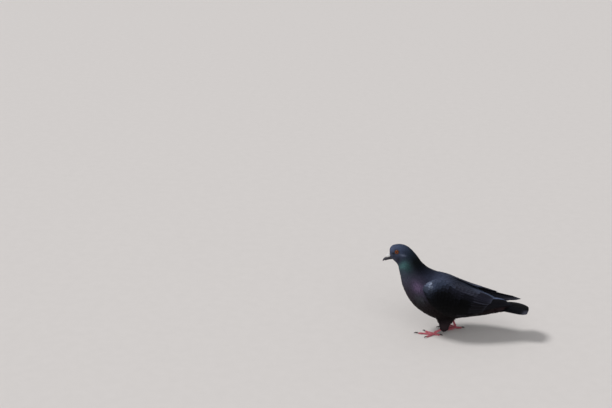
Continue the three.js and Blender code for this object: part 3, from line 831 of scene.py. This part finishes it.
# Along a real vane stand about three barbs to a millimetre. On long feathers these are too fine to
# show, so they are drawn about three times as coarse.
longLooks = {
    "coverts": plumageMaterial("wing_coverts_sleek", 30, 0.4),
    "flight": plumageMaterial("flight_feathers_firm", 80, 1.0),
    "tail": plumageMaterial("tail_feathers_firm", 85, 1.0),
}
covertVane = vaneShape(6, 6, 0.45, 0.68, 0.5, 0.07)
flightVane = vaneShape(14, 6, 0.6, 0.75, 0.55, 0.07)
for label, side in (("left", -1), ("right", 1)):
    for kind, feathers in (("covert", covertFeathers()), ("edge", edgeFeathers())):
        laid = layOnWing(covertVane, feathers, side, wingCoat["thickness"], wingCoat["tilt"])
        middle = laid.mean(1)
        along, height, _ = wingPlace(middle)
        colour, gloss = wingMarkings(middle)
        if kind == "edge":
            onBody = np.clip((height - 0.92) * 3, 0, 0.5) + 0.5 * (height < 0.2)
            colour = blend(colour, bodyMarkings(middle)[0], onBody)
        tone = 1 + draw.normal(0, wingCoat["vary"]["tone"], len(middle))
        a, b = covertVane["down"], covertVane["aside"]
        # painted shade: each covert darker towards its root, where the feathers over it shade it
        painted = (colour * tone[:, None])[:, None] * (0.8 + 0.2 * a)[None, :, None]
        flank = (height < 0.3) * (along > 14) * (tone > 0.98) * 0.5
        pale = (kind == "edge") * (flank + 0.2 * (height > 0.8))
        rim = marked(plain("fringe", middle.shape), "flankTip", pale)
        # painted light: the pale margins grow stronger towards the wing's top, as lit from above
        rim = rim * (np.clip(height * 2 - 0.6, 0.2, 1) + (pale > 0))[:, None]
        painted = painted + rim[:, None] * (0.5 * a ** 6 * (0.3 + b ** 2))[None, :, None]
        piece = vanePiece(f"wing_{label}_{kind}_feathers", covertVane, laid, painted, gloss,
                          longLooks["coverts"], mirrored=side < 0)
        if kind == "covert":
            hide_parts(f"wing_{label}_coverts")

    feathers = flightFeathers()
    laid = layOnWing(flightVane, feathers, side, flightLook["thickness"], flightLook["tilt"])
    inner = np.arange(len(feathers)) >= flightLook["primaries"]
    height = np.array([tip[1] for _, tip, _, _, _ in feathers])
    colour = plain("flight", (len(feathers), 3))
    # painted light: the inner feathers take the painted lit top colour towards the wing's top
    colour = marked(colour, "litWingTop", np.clip((height - 0.55) * 2.4, 0, 0.9) * inner)
    colour = colour * (1 + draw.normal(0, flightLook["vary"], len(feathers)))[:, None]
    a, b = flightVane["down"], flightVane["aside"]
    below = flightVane["side"] < 0
    # painted shade: each flight feather a little darker towards its root, where those over it shade it
    painted = colour[:, None] * ((0.9 + 0.1 * a) * np.where(below, 0.4, 1))[None, :, None]
    # pale edging on the sides and tips, partly painted highlight: stronger on the upper inner feathers
    rimShare = 0.12 + 0.4 * inner * np.clip(height * 1.6, 0.3, 1)
    rim = np.outer(rimShare, 0.6 * b ** 8 + 0.6 * a ** 30) * ~below
    painted = painted + rim[..., None] * linear(markings["rearEdgeAndSheen"])
    painted = painted + (linear(markings["vaneBelow"]) * below[:, None])[None]
    piece = vanePiece(f"wing_{label}_flight_feathers", flightVane, laid, painted,
                      flightLook["gloss"] * inner, longLooks["flight"], mirrored=side < 0)
    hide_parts(f"wing_{label}_secondaries", f"wing_{label}_primaries")
print("wings done")


tail = {
    "feathers": 12, "halfWidth": 9.0, "thickness": 0.45, "tilt": 0.3,
    "from": 84, "root": 98, "tip": 172, "rootHalf": 19, "tipHalf": 31.5,
    "corner": (6, 27),      # how far the outer feathers of the left and right stop short
    "height": 67.5, "droop": (3, 6), "dome": 3, "swing": 5, "deep": (6, 1.8),
    "fanFrom": 13,          # half the spread of the quills at their roots
}


def onTail(x, across, lift):
    down = np.clip((x - tail["root"]) / (tail["tip"] - tail["root"]), 0, 1.05)
    half = tail["rootHalf"] + (tail["tipHalf"] - tail["rootHalf"]) * np.sqrt(down)
    z = tail["height"] - tail["droop"][0] * down - tail["droop"][1] * down ** 2
    z = z + tail["dome"] * (0.4 - (across / half) ** 2) + lift
    return np.stack([x - bird["middle"], across + tail["swing"] * down, z], -1) * mm


# The middle pair lies on top, and each feather outwards lies under the one before.
tailVane = vaneShape(16, 8, 0.45, 0.8, 0.55, 0.05)
seat = np.linspace(-1, 1, tail["feathers"])[:, None]
tipX = tail["tip"] - np.where(seat > 0, tail["corner"][1], tail["corner"][0]) * (0.86 * seat) ** 2
x = tail["from"] + (tipX - tail["from"]) * tailVane["a"]
fanTo = tail["tipHalf"] - 0.82 * tail["halfWidth"]
across = seat * (tail["fanFrom"] + (fanTo - tail["fanFrom"]) * tailVane["a"] ** 0.7)
across = across + tail["halfWidth"] * tailVane["b"]
deep = np.interp(x, [tail["root"], tail["tip"]], tail["deep"])
lift = deep * (0.5 - 0.9 * np.abs(seat)) + 0.08 * (seat > 0) + tail["thickness"] * tailVane["side"] / 2
lift = lift + tail["tilt"] * tailVane["b"] * np.sign(seat) - 0.03 * tail["halfWidth"] * tailVane["b"] ** 2
laid = onTail(x, across, lift)
a = np.broadcast_to(tailVane["down"], x.shape)
colour = plain("tail", laid.shape)
colour = marked(colour, "tailBand", np.clip((a - 0.6) * 8, 0, 1))
outer = np.clip((np.abs(seat) - 0.3) * 2, 0, 0.9)
colour = marked(colour, "tailTip", np.clip((a - 0.86) * 14, 0, 1) * outer)
rim = tailVane["aside"] ** 8
below = tailVane["side"] < 0
colour = colour + linear(markings["fringe"]) * (0.6 * rim + 0.7 * below)[None, :, None]
piece = vanePiece("tail_feathers", tailVane, laid, colour, np.full(len(laid), 0.1), longLooks["tail"],
                  mirrored=True)
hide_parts("tail")
print("tail done")


eyeLook = {"iris": 4.5, "pupil": 1.65, "ragged": 0.16, "grainsPerMm": 1.8}


def eyeMaterial():
    # Living eye, wet: a black pupil in an orange iris that reddens outwards, under a clear cornea
    # that gives one small sharp highlight.
    material, tree, shader = newMaterial("eye_wet_orange")
    place = addNode(tree, "TexCoord").outputs["Object"]
    split = addNode(tree, "SeparateXYZ", Vector=place)
    folded = addNode(tree, "Math", "ABSOLUTE", i0=split.outputs["Y"])
    joined = addNode(tree, "CombineXYZ", X=split, Y=folded, Z=split.outputs["Z"])
    fromEye = addNode(tree, "VectorMath", "SUBTRACT", i0=joined, i1=tuple(eyeAt * mm))
    sideways = addNode(tree, "VectorMath", "CROSS_PRODUCT", i0=fromEye, i1=tuple(eyeAxis))
    radius = addNode(tree, "VectorMath", "LENGTH", i0=sideways)
    grain = addNode(tree, "TexNoise", Vector=place, Scale=eyeLook["grainsPerMm"] / mm, Detail=2.0)
    ragged = addNode(tree, "Math", "MULTIPLY_ADD", i0=grain, i1=eyeLook["ragged"] * mm,
                     i2=radius.outputs["Value"])
    share = addNode(tree, "MapRange", Value=ragged, i2=eyeLook["iris"] * mm)
    ramp = addNode(tree, "ValToRGB", Fac=share)
    pupil = eyeLook["pupil"] / eyeLook["iris"]
    rampStops(ramp.color_ramp, [(0.0, "#050404"), (pupil, "#060404"), (pupil + 0.05, "#884a14"),
                                (0.6, "#74310a"), (0.8, "#541807"), (0.92, "#120a08")])
    setInputs(tree, shader, {"Base Color": ramp, "Roughness": 0.25, "IOR": 1.38, "Specular IOR Level": 0.1,
                             "Coat Weight": 1.0, "Coat IOR": 1.38, "Coat Roughness": 0.03})
    return material


def grownMaterial(name, low, high, grain, roughness, depth):
    # Bare skin or horn, grown: two close tones in a soft mottle, and a fine grain of relief.
    material, tree, shader = newMaterial(name)
    _, cloud, ramp = cloudTones(tree, grain, 4.0, [(0.3, low), (0.7, high)])
    relief = addNode(tree, "Bump", Height=cloud, Strength=0.6, Distance=depth * mm)
    setInputs(tree, shader, {"Base Color": ramp, "Normal": relief, "Roughness": roughness, "IOR": 1.5})
    return material


head = {
    "eyeball": 6.0,
    "lidSkin": (4.72, 4.02, 0.62, 0.27, 0.7),     # radius, height, half width, half thickness, sink
    "lidEdge": (4.13, 4.42, 0.16, 0.16, 0.0),
    "ringSteps": (12, 136),     # round the section and round the eye
    "folds": (23, 37, 0.05),    # how many coarse and fine folds run round the ring, and their height
    "foldsFrom": 4.25, "almond": 1.025,
    "cereSwell": 0.22, "billSwell": 0.14, "clawSwell": 0.12,
    "voxel": 0.3, "clawVoxel": 0.22,
}


# A ring round an axis, from a round section drawn out flat and tilted so its outer side sinks.
def addRing(bm, radius, height, width, thickness, sink):
    segments, steps = head["ringSteps"]
    made = bmesh.ops.create_circle(bm, segments=segments, radius=1.0)["verts"]
    for vertex in made:
        outward, upward = vertex.co.x, vertex.co.y
        level = height + upward * thickness - outward * width * sink
        vertex.co = Vector((radius + outward * width, 0, level)) * mm
    edges = list({e for v in made for e in v.link_edges})
    bmesh.ops.spin(bm, geom=made + edges, cent=(0, 0, 0), axis=(0, 0, 1), dvec=(0, 0, 0), angle=math.tau,
                   steps=steps, use_merge=True)


eyeballMaterial = eyeMaterial()
lidMaterial = grownMaterial("eye_ring_bare_skin", "#332722", "#4d3c36", 0.35, 0.6, 0.12)
billMaterial = grownMaterial("bill_dark_horn", "#2f2e36", "#46454f", 1.4, 0.42, 0.05)
cereMaterial = grownMaterial("cere_powdery_skin", "#cfcdcc", "#e0dfde", 0.5, 0.85, 0.1)
for label, side in (("left", -1), ("right", 1)):
    centre = Vector((eyeAt[0], side * eyeAt[1], eyeAt[2])) * mm
    axis = Vector((bird["eyeAxis"][0], side * bird["eyeAxis"][1], bird["eyeAxis"][2]))
    stand = Matrix.Translation(centre) @ axis.to_track_quat("Z", "Y").to_matrix().to_4x4()
    bm = bmesh.new()
    bmesh.ops.create_uvsphere(bm, u_segments=40, v_segments=24, radius=head["eyeball"] * mm, matrix=stand)
    eyeball = addPiece(f"eyeball_{label}", bm, eyeballMaterial)
    bm = bmesh.new()
    addRing(bm, *head["lidSkin"])
    addRing(bm, *head["lidEdge"])
    bmesh.ops.remove_doubles(bm, verts=bm.verts[:], dist=1e-7)
    bmesh.ops.recalc_face_normals(bm, faces=bm.faces[:])
    for vertex in bm.verts:
        around, away = math.atan2(vertex.co.y, vertex.co.x), math.hypot(vertex.co.x, vertex.co.y) / mm
        coarse = math.sin(head["folds"][0] * around + 2 * math.sin(3 * around))
        fine = math.sin(head["folds"][1] * around + 1.4 * math.sin(5 * around))
        fold = (coarse + 0.6 * fine) * min(1, max(0, away - head["foldsFrom"]))
        sag = 0.1 * math.sin(2 * around + 0.6) * (away > head["foldsFrom"])
        vertex.co.z += (head["folds"][2] * fold + sag) * mm
        vertex.co.x *= head["almond"]
        vertex.co.y /= head["almond"]
    bmesh.ops.transform(bm, verts=bm.verts[:], matrix=stand)
    ring = addPiece(f"eye_ring_{label}", bm, lidMaterial)
    for piece, node, slot in ((eyeball, "eye", "eye_iris"), (ring, "lid", "lid_skin")):
        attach(piece, "root")
        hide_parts(f"{node}_{label}")


# One smooth piece from the solids of some nodes, swollen to make good what the smoothing takes.
def shapedPiece(name, nodes, swell, voxel, rounds, material, sunk=0.0, closer=0.0):
    bm = nodesMerged(nodes, swell)
    for vertex in bm.verts:
        vertex.co.y -= math.copysign(closer * mm, vertex.co.y)
    bm = remeshed(bm, voxel, rounds)
    rear = max(vertex.co.x for vertex in bm.verts)
    for vertex in bm.verts:
        vertex.co.x += sunk * mm * min(1, max(0, 1 - (rear - vertex.co.x) / (1.5 * mm)))
    piece = addPiece(name, bm, material)
    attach(piece, "root")
    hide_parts(*nodes)


for side in ("upper", "lower"):
    shapedPiece(f"bill_{side}_horn", [f"bill_{side}"], head["billSwell"], head["voxel"], 6, billMaterial,
                2.5)
shapedPiece("cere_skin", ["cere_left", "cere_right"], head["cereSwell"], head["voxel"], 10, cereMaterial,
            0.5, 0.75)
print("head done")


foot = {
    "gap": 0.36, "voxel": 0.32, "rounds": 4, "pad": 3.0,
    "toes": {1: (174, 13), 2: (-34, 22.5), 3: (0, 33), 4: (48, 21.5)},      # heading in degrees, reach
    "toeHeight": 1.8,
    "scute": 1.6, "scuteRise": 0.12, "taper": 0.35, "knuckle": 0.14,
    "tones": [(0.3, "#a94855"), (0.7, "#c66f7b")], "toneSize": 2.5,
    "cellSize": 0.9, "cellDepth": 0.2, "creaseShade": 0.28,
}


def footMaterial():
    # Scaled skin, grown: dull red, with painted shade in the creases between the scutes and at the edges of
    # the fine cells.
    material, tree, shader = newMaterial("red_scaled_skin")
    shadedCrease = addNode(tree, "Attribute", {"attribute_name": "shadedCrease"})
    place, _, ramp = cloudTones(tree, foot["toneSize"], 2.0, foot["tones"])
    cells = addNode(tree, "TexVoronoi", {"feature": "DISTANCE_TO_EDGE"}, Vector=place,
                    Scale=1 / (foot["cellSize"] * mm))
    # painted shade at the edges of the fine cells and in the creases
    edge = addNode(tree, "MapRange", Value=cells.outputs["Distance"], i1=0.0, i2=0.12, i3=0.78, i4=1.0)
    dark = addNode(tree, "Math", "MULTIPLY_ADD", i0=shadedCrease.outputs["Fac"], i1=-foot["creaseShade"], i2=edge)
    colour = addNode(tree, "VectorMath", "SCALE", i0=ramp, Scale=dark)
    relief = addNode(tree, "Bump", Height=edge, Strength=0.7, Distance=foot["cellDepth"] * mm)
    setInputs(tree, shader, {"Base Color": colour, "Normal": relief, "Roughness": 0.52, "IOR": 1.5})
    return material


def footLines(leg):
    top, sole = (np.array(point, float) - toFrame for point in leg["shank"])
    lines = [(top, sole)]
    root = np.array([sole[0], sole[1], foot["toeHeight"]])
    for heading, reach in foot["toes"].values():
        angle = math.radians(heading - leg["turn"])
        away = np.array([-math.cos(angle), leg["side"] * math.sin(angle), 0])
        lines.append((root, root + away * reach))
    return lines


redSkin = footMaterial()
clawMaterial = grownMaterial("claw_dark_horn", "#221e1c", "#3b3532", 1.2, 0.38, 0.03)
for label, leg in legs.items():
    names = [f"leg_{label}_shank"] + [f"leg_{label}_toe_{i}" for i in foot["toes"]]
    bm = nodesMerged(names, foot["gap"])
    lines = footLines(leg)
    sole = lines[0][1]
    bmesh.ops.create_icosphere(bm, subdivisions=2, radius=foot["pad"] * mm,
                               matrix=Matrix.Translation(Vector((sole[0], sole[1], foot["pad"])) * mm))
    bm = remeshed(bm, foot["voxel"], foot["rounds"])
    places, facing = placesAndNormals(bm.verts)
    places = places / mm
    alongs, aways, shares, ways = [], [], [], []
    for start, end in lines:
        ahead, size = unit(end - start), np.linalg.norm(end - start)
        along = (places - start) @ ahead
        alongs.append(along)
        shares.append(along / size * (len(shares) > 0))
        ways.append(ahead)
        aways.append(np.linalg.norm(places - start - np.clip(along, 0, size)[:, None] * ahead, axis=1))
    nearest = np.array(aways).argmin(0)
    along, share = (np.array(part)[nearest, range(len(places))] for part in (alongs, shares))
    onTop = np.clip(facing[:, 2] * 2.4 - 0.3, 0, 1)
    step = (along / foot["scute"]) % 1.0
    rise = (step ** 1.5 - 0.5) * foot["scuteRise"] * onTop - 0.08
    rise = rise - foot["taper"] * np.clip(share * 2.2 - 1.2, 0, 1)
    rise = rise - foot["knuckle"] * np.cos(share * 3 * math.tau) * np.clip(share * 4 - 0.8, 0, 1)
    moved = places + facing * rise[:, None]
    moved = moved + np.array(ways)[nearest] * np.clip(share * 10 - 9, 0, 1)[:, None]    # up to the claws
    moved[:, 2] = np.maximum(moved[:, 2], 0.02)
    moveTo(bm, moved * mm)
    piece = addPiece(f"foot_{label}_skin", bm, redSkin)
    # painted shade in the creases between the scutes on the toes' tops
    shadedCrease = onTop * np.clip(1 - np.minimum(step, 1 - step) / 0.2, 0, 1)
    layer = piece.data.attributes.new("shadedCrease", "FLOAT", "POINT")
    layer.data.foreach_set("value", shadedCrease.astype(np.float32))
    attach(piece, "root")
    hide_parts(*names)
    for i in foot["toes"]:
        shapedPiece(f"claw_{label}_{i}_horn", [f"leg_{label}_claw_{i}"], head["clawSwell"],
                    head["clawVoxel"], 3, clawMaterial)
print("feet done")


studio = {
    "floor": [(0.3, "#cfcac7"), (0.7, "#d1ccc9")], "floorTone": 25, "floorSize": 14.0,
    "key": {"from": (-0.85, 0.1, 1.15), "strength": 2.0, "spread": 16},
    "fill": {"from": (0.25, -1.0, 0.75), "strength": 0.85, "spread": 60},
    "world": 0.36, "worldColour": (0.95, 0.97, 1.0, 1),
    "cameraAt": (-0.0183, -2.2963, 1.0597), "pitch": 18.8, "yaw": 7.373, "lens": 69.3,
}

material, tree, shader = newMaterial("floor_matt_paint")       # matt paint, rolled: even and pale
_, _, ramp = cloudTones(tree, studio["floorTone"], 2.0, studio["floor"])
setInputs(tree, shader, {"Base Color": ramp, "Roughness": 0.9})
bm = bmesh.new()
bmesh.ops.create_grid(bm, x_segments=1, y_segments=1, size=studio["floorSize"])
addPiece("floor", bm, material, smooth=False)

scene.world = bpy.data.worlds.new("studio")
scene.world.use_nodes = True
tree = scene.world.node_tree
setInputs(tree, tree.nodes["Background"], {"Color": studio["worldColour"], "Strength": studio["world"]})
for name in ("key", "fill"):
    lamp = bpy.data.lights.new(name, "SUN")
    lamp.energy = studio[name]["strength"]
    lamp.angle = math.radians(studio[name]["spread"])
    holder = bpy.data.objects.new(name, lamp)
    holder.location = studio[name]["from"]
    holder.visible_glossy = name == "key"       # one small highlight in the eye, as from one window
    holder.rotation_euler = (-Vector(studio[name]["from"])).to_track_quat("-Z", "Y").to_euler()
    scene.collection.objects.link(holder)

view = bpy.data.cameras.new("camera")
view.lens = studio["lens"]
camera = bpy.data.objects.new("camera", view)
camera.location = studio["cameraAt"]
camera.rotation_euler = (math.radians(90 - studio["pitch"]), 0, math.radians(studio["yaw"]))
scene.collection.objects.link(camera)
scene.camera = camera
scene.view_settings.view_transform = "Standard"
